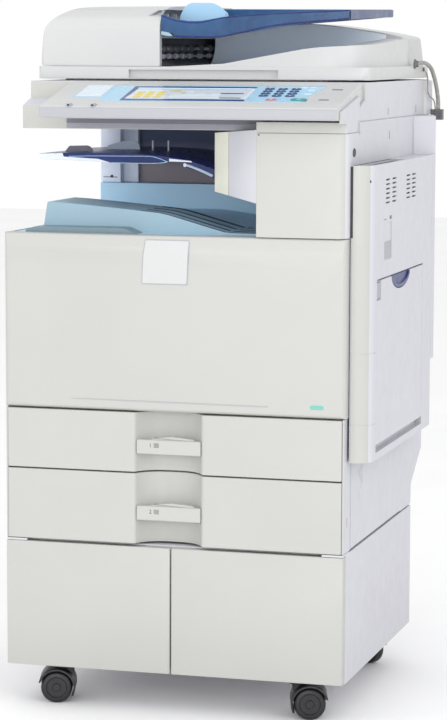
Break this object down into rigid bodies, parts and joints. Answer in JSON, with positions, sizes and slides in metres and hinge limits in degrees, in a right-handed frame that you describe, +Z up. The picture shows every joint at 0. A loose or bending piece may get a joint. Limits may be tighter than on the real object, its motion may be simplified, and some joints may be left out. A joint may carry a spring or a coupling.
{
  "type": "photocopier",
  "caption": "Floor-standing colour photocopier on a castered cabinet, with front-loading paper drawers, an in-body output bay, a sloped control panel, a flatbed scanner and a document feeder.",
  "frame": {"origin": "centre of the bounding box, on the floor", "axes": "+X to the operator's right, +Y from the front to the back, +Z up"},
  "size_m": [0.588, 0.655, 1.117],
  "materials": {
    "warm_white": "fine moulded texture, satin",
    "cool_white": "fine moulded texture, satin",
    "bay_blue": "satin",
    "clear_blue": "translucent gloss",
    "guide_blue": "semi-gloss",
    "frame_steel": "satin",
    "caster_black": "satin",
    "toner_black": "satin",
    "toner_cyan": "satin",
    "toner_magenta": "satin",
    "toner_yellow": "satin",
    "belt_dark": "smooth",
    "roller_dark": "smooth",
    "platen_glass": "clear",
    "carriage_dark": "matte",
    "screen": "gloss",
    "key_navy": "satin",
    "key_green": "satin",
    "key_red": "satin",
    "cable_grey": "satin"
  },
  "bodies": {
    "chassis": {"cabinet_shell": "warm_white", "feed_unit_housing": "cool_white", "left_cover": "cool_white", "rear_cover": "cool_white", "engine_frame": "frame_steel", "transfer_belt": "belt_dark", "output_tray": "bay_blue", "one_bin_tray": "clear_blue", "bay_pillar": "cool_white", "column_cover": "warm_white", "exit_cover": "cool_white", "scanner_housing": "warm_white", "platen_glass": "platen_glass", "operation_panel": "warm_white", "touch_screen": "screen", "adf_cable": "cable_grey"},
    "cabinet_door_left": {"cabinet_door_left": "warm_white"},
    "cabinet_door_right": {"cabinet_door_right": "warm_white"},
    "drawer_1": {"tray_1_front": "warm_white", "tray_1_box": "cool_white"},
    "drawer_2": {"tray_2_front": "warm_white", "tray_2_box": "cool_white"},
    "front_cover": {"front_cover": "warm_white"},
    "right_door": {"right_door": "cool_white"},
    "bypass_tray": {"bypass_tray": "cool_white"},
    "lower_right_door": {"lower_right_door": "cool_white"},
    "scan_carriage": {"scan_carriage": "carriage_dark"},
    "adf": {"adf_base": "warm_white"},
    "adf_feed_cover": {"adf_feed_cover": "warm_white"},
    "document_tray": {"document_tray": "clear_blue"},
    "document_guide_front": {"document_guide_front": "guide_blue"},
    "document_guide_rear": {"document_guide_rear": "guide_blue"},
    "fuser_heat_roller": {"fuser_heat_roller": "roller_dark"},
    "fuser_pressure_roller": {"fuser_pressure_roller": "roller_dark"},
    "start_key": {"start_key": "key_green"},
    "stop_key": {"stop_key": "key_red"},
    "caster_swivel_front_left": {"caster_swivel_front_left": "caster_black"},
    "caster_wheel_front_left": {"caster_wheel_front_left": "caster_black"},
    "caster_swivel_front_right": {"caster_swivel_front_right": "caster_black"},
    "caster_wheel_front_right": {"caster_wheel_front_right": "caster_black"},
    "caster_swivel_rear_left": {"caster_swivel_rear_left": "caster_black"},
    "caster_wheel_rear_left": {"caster_wheel_rear_left": "caster_black"},
    "caster_swivel_rear_right": {"caster_swivel_rear_right": "caster_black"},
    "caster_wheel_rear_right": {"caster_wheel_rear_right": "caster_black"},
    "toner_bottle_black": {"toner_bottle_black": "toner_black"},
    "toner_bottle_cyan": {"toner_bottle_cyan": "toner_cyan"},
    "toner_bottle_magenta": {"toner_bottle_magenta": "toner_magenta"},
    "toner_bottle_yellow": {"toner_bottle_yellow": "toner_yellow"},
    "key_1": {"key_1": "key_navy"},
    "key_2": {"key_2": "key_navy"},
    "key_3": {"key_3": "key_navy"},
    "key_4": {"key_4": "key_navy"},
    "key_5": {"key_5": "key_navy"},
    "key_6": {"key_6": "key_navy"},
    "key_7": {"key_7": "key_navy"},
    "key_8": {"key_8": "key_navy"},
    "key_9": {"key_9": "key_navy"},
    "key_star": {"key_star": "key_navy"},
    "key_0": {"key_0": "key_navy"},
    "key_hash": {"key_hash": "key_navy"}
  },
  "joints": [
    {"name": "cabinet_door_left_hinge", "type": "hinge", "parent": "chassis", "child": "cabinet_door_left", "pos_m": [-0.289, -0.2705, 0.16], "axis": [0, 0, -1], "range_deg": [0, 100]},
    {"name": "cabinet_door_right_hinge", "type": "hinge", "parent": "chassis", "child": "cabinet_door_right", "pos_m": [0.255, -0.2705, 0.16], "axis": [0, 0, 1], "range_deg": [0, 100]},
    {"name": "caster_swivel_front_left_turn", "type": "hinge", "parent": "chassis", "child": "caster_swivel_front_left", "pos_m": [-0.212, -0.2285, 0.055], "axis": [0, 0, 1], "continuous": true},
    {"name": "caster_wheel_front_left_spin", "type": "hinge", "parent": "caster_swivel_front_left", "child": "caster_wheel_front_left", "pos_m": [-0.22546, -0.23236, 0.025], "axis": [0.2756, -0.9613, 0], "continuous": true},
    {"name": "caster_swivel_front_right_turn", "type": "hinge", "parent": "chassis", "child": "caster_swivel_front_right", "pos_m": [0.178, -0.2285, 0.055], "axis": [0, 0, 1], "continuous": true},
    {"name": "caster_wheel_front_right_spin", "type": "hinge", "parent": "caster_swivel_front_right", "child": "caster_wheel_front_right", "pos_m": [0.19146, -0.22464, 0.025], "axis": [-0.2756, 0.9613, 0], "continuous": true},
    {"name": "caster_swivel_rear_left_turn", "type": "hinge", "parent": "chassis", "child": "caster_swivel_rear_left", "pos_m": [-0.212, 0.1555, 0.055], "axis": [0, 0, 1], "continuous": true},
    {"name": "caster_wheel_rear_left_spin", "type": "hinge", "parent": "caster_swivel_rear_left", "child": "caster_wheel_rear_left", "pos_m": [-0.20608, 0.14281, 0.025], "axis": [0.9063, 0.4226, 0], "continuous": true},
    {"name": "caster_swivel_rear_right_turn", "type": "hinge", "parent": "chassis", "child": "caster_swivel_rear_right", "pos_m": [0.178, 0.1555, 0.055], "axis": [0, 0, 1], "continuous": true},
    {"name": "caster_wheel_rear_right_spin", "type": "hinge", "parent": "caster_swivel_rear_right", "child": "caster_wheel_rear_right", "pos_m": [0.19012, 0.1485, 0.025], "axis": [0.5, 0.866, 0], "continuous": true},
    {"name": "drawer_1_slide", "type": "slide", "parent": "chassis", "child": "drawer_1", "axis": [0, -1, 0], "range_m": [0, 0.38]},
    {"name": "drawer_2_slide", "type": "slide", "parent": "chassis", "child": "drawer_2", "axis": [0, -1, 0], "range_m": [0, 0.38]},
    {"name": "front_cover_hinge", "type": "hinge", "parent": "chassis", "child": "front_cover", "pos_m": [-0.017, -0.2775, 0.4884], "axis": [1, 0, 0], "range_deg": [0, 80]},
    {"name": "right_door_hinge", "type": "hinge", "parent": "chassis", "child": "right_door", "pos_m": [0.286, -0.0375, 0.418], "axis": [0, 1, 0], "range_deg": [0, 60]},
    {"name": "bypass_tray_hinge", "type": "hinge", "parent": "right_door", "child": "bypass_tray", "pos_m": [0.289, -0.053, 0.438], "axis": [0, 1, 0], "range_deg": [0, 70]},
    {"name": "lower_right_door_hinge", "type": "hinge", "parent": "chassis", "child": "lower_right_door", "pos_m": [0.254, -0.0558, 0.28], "axis": [0, 1, 0], "range_deg": [0, 80]},
    {"name": "scan_carriage_slide", "type": "slide", "parent": "chassis", "child": "scan_carriage", "axis": [1, 0, 0], "range_m": [0, 0.34]},
    {"name": "adf_hinge", "type": "hinge", "parent": "chassis", "child": "adf", "pos_m": [-0.017, 0.3195, 1.0045], "axis": [-1, 0, 0], "range_deg": [0, 60]},
    {"name": "adf_feed_cover_hinge", "type": "hinge", "parent": "adf", "child": "adf_feed_cover", "pos_m": [-0.283, 0.0975, 1.025], "axis": [0, -1, 0], "range_deg": [0, 80]},
    {"name": "document_tray_hinge", "type": "hinge", "parent": "adf", "child": "document_tray", "pos_m": [-0.083, 0.0405, 1.097], "axis": [0, -1, 0], "range_deg": [0, 30]},
    {"name": "document_guide_front_slide", "type": "slide", "parent": "document_tray", "child": "document_guide_front", "axis": [0, 1, 0], "range_m": [-0.06, 0.045]},
    {"name": "document_guide_rear_slide", "type": "slide", "parent": "document_tray", "child": "document_guide_rear", "axis": [0, 1, 0], "range_m": [-0.045, 0.06]},
    {"name": "toner_bottle_black_spin", "type": "hinge", "parent": "chassis", "child": "toner_bottle_black", "pos_m": [-0.207, -0.0585, 0.672], "axis": [0, 1, 0], "continuous": true},
    {"name": "toner_bottle_cyan_spin", "type": "hinge", "parent": "chassis", "child": "toner_bottle_cyan", "pos_m": [-0.115, -0.0585, 0.672], "axis": [0, 1, 0], "continuous": true},
    {"name": "toner_bottle_magenta_spin", "type": "hinge", "parent": "chassis", "child": "toner_bottle_magenta", "pos_m": [-0.023, -0.0585, 0.672], "axis": [0, 1, 0], "continuous": true},
    {"name": "toner_bottle_yellow_spin", "type": "hinge", "parent": "chassis", "child": "toner_bottle_yellow", "pos_m": [0.069, -0.0585, 0.672], "axis": [0, 1, 0], "continuous": true},
    {"name": "fuser_heat_roller_spin", "type": "hinge", "parent": "chassis", "child": "fuser_heat_roller", "pos_m": [0.186, -0.0275, 0.69], "axis": [0, 1, 0], "continuous": true},
    {"name": "fuser_pressure_roller_spin", "type": "hinge", "parent": "chassis", "child": "fuser_pressure_roller", "pos_m": [0.2206, -0.0275, 0.69], "axis": [0, 1, 0], "continuous": true},
    {"name": "key_1_press", "type": "slide", "parent": "chassis", "child": "key_1", "axis": [0, 0.237, -0.9715], "range_m": [0, 0.0018], "stiffness_N_per_m": 100},
    {"name": "key_2_press", "type": "slide", "parent": "chassis", "child": "key_2", "axis": [0, 0.237, -0.9715], "range_m": [0, 0.0018], "stiffness_N_per_m": 100},
    {"name": "key_3_press", "type": "slide", "parent": "chassis", "child": "key_3", "axis": [0, 0.237, -0.9715], "range_m": [0, 0.0018], "stiffness_N_per_m": 100},
    {"name": "key_4_press", "type": "slide", "parent": "chassis", "child": "key_4", "axis": [0, 0.237, -0.9715], "range_m": [0, 0.0018], "stiffness_N_per_m": 100},
    {"name": "key_5_press", "type": "slide", "parent": "chassis", "child": "key_5", "axis": [0, 0.237, -0.9715], "range_m": [0, 0.0018], "stiffness_N_per_m": 100},
    {"name": "key_6_press", "type": "slide", "parent": "chassis", "child": "key_6", "axis": [0, 0.237, -0.9715], "range_m": [0, 0.0018], "stiffness_N_per_m": 100},
    {"name": "key_7_press", "type": "slide", "parent": "chassis", "child": "key_7", "axis": [0, 0.237, -0.9715], "range_m": [0, 0.0018], "stiffness_N_per_m": 100},
    {"name": "key_8_press", "type": "slide", "parent": "chassis", "child": "key_8", "axis": [0, 0.237, -0.9715], "range_m": [0, 0.0018], "stiffness_N_per_m": 100},
    {"name": "key_9_press", "type": "slide", "parent": "chassis", "child": "key_9", "axis": [0, 0.237, -0.9715], "range_m": [0, 0.0018], "stiffness_N_per_m": 100},
    {"name": "key_star_press", "type": "slide", "parent": "chassis", "child": "key_star", "axis": [0, 0.237, -0.9715], "range_m": [0, 0.0018], "stiffness_N_per_m": 100},
    {"name": "key_0_press", "type": "slide", "parent": "chassis", "child": "key_0", "axis": [0, 0.237, -0.9715], "range_m": [0, 0.0018], "stiffness_N_per_m": 100},
    {"name": "key_hash_press", "type": "slide", "parent": "chassis", "child": "key_hash", "axis": [0, 0.237, -0.9715], "range_m": [0, 0.0018], "stiffness_N_per_m": 100},
    {"name": "start_key_press", "type": "slide", "parent": "chassis", "child": "start_key", "axis": [0, 0.237, -0.9715], "range_m": [0, 0.0018], "stiffness_N_per_m": 100},
    {"name": "stop_key_press", "type": "slide", "parent": "chassis", "child": "stop_key", "axis": [0, 0.237, -0.9715], "range_m": [0, 0.0018], "stiffness_N_per_m": 100}
  ],
  "couplings": [
    {"joint": "document_guide_rear_slide", "follows": "document_guide_front_slide", "ratio": -1},
    {"joint": "fuser_pressure_roller_spin", "follows": "fuser_heat_roller_spin", "ratio": -1}
  ]
}
